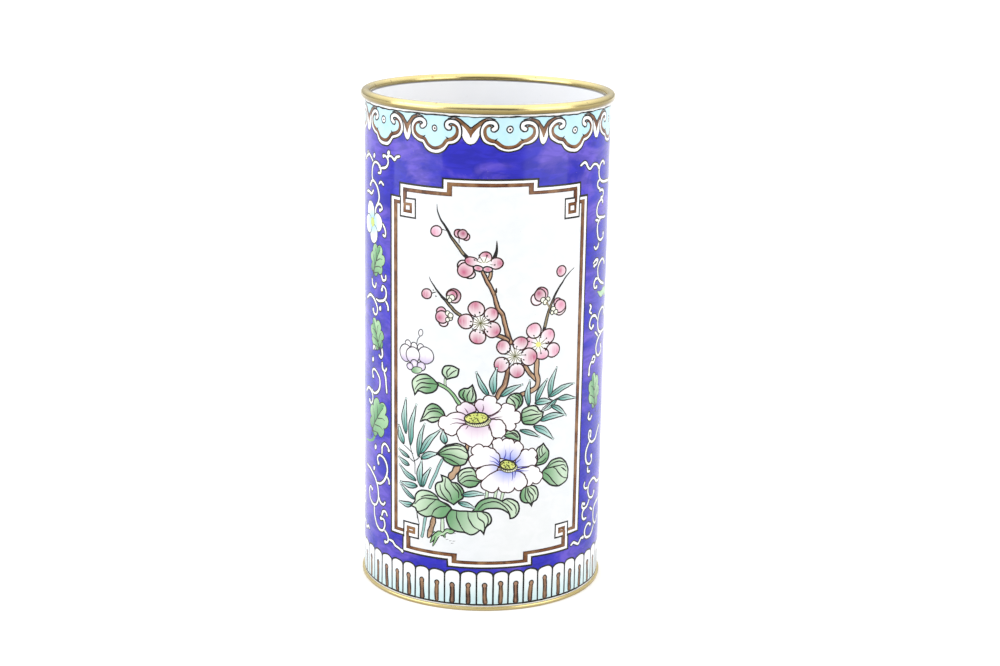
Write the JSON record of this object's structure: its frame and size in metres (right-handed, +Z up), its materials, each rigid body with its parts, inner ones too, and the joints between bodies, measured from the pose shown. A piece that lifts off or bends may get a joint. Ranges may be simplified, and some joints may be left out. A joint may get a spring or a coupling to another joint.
{
  "type": "enamel brush pot",
  "caption": "Tall round open pot of enamelled copper with a brass bead on its lip and a brass foot ring, made to hold writing brushes.",
  "frame": {"origin": "centre of the underside, on the surface that the foot ring rests on", "axes": "+Z up along the pot's axis; the painted front panel faces -Y"},
  "size_m": [0.0784, 0.0784, 0.157],
  "materials": {
    "painted_enamel": "glossy painted enamel on copper: cobalt blue ground, white panels, white inside",
    "gilt_brass": "satin gilt brass"
  },
  "bodies": {
    "root": {"enamelled_vessel": "painted_enamel", "lip_bead": "gilt_brass", "foot_ring": "gilt_brass"}
  },
  "joints": []
}
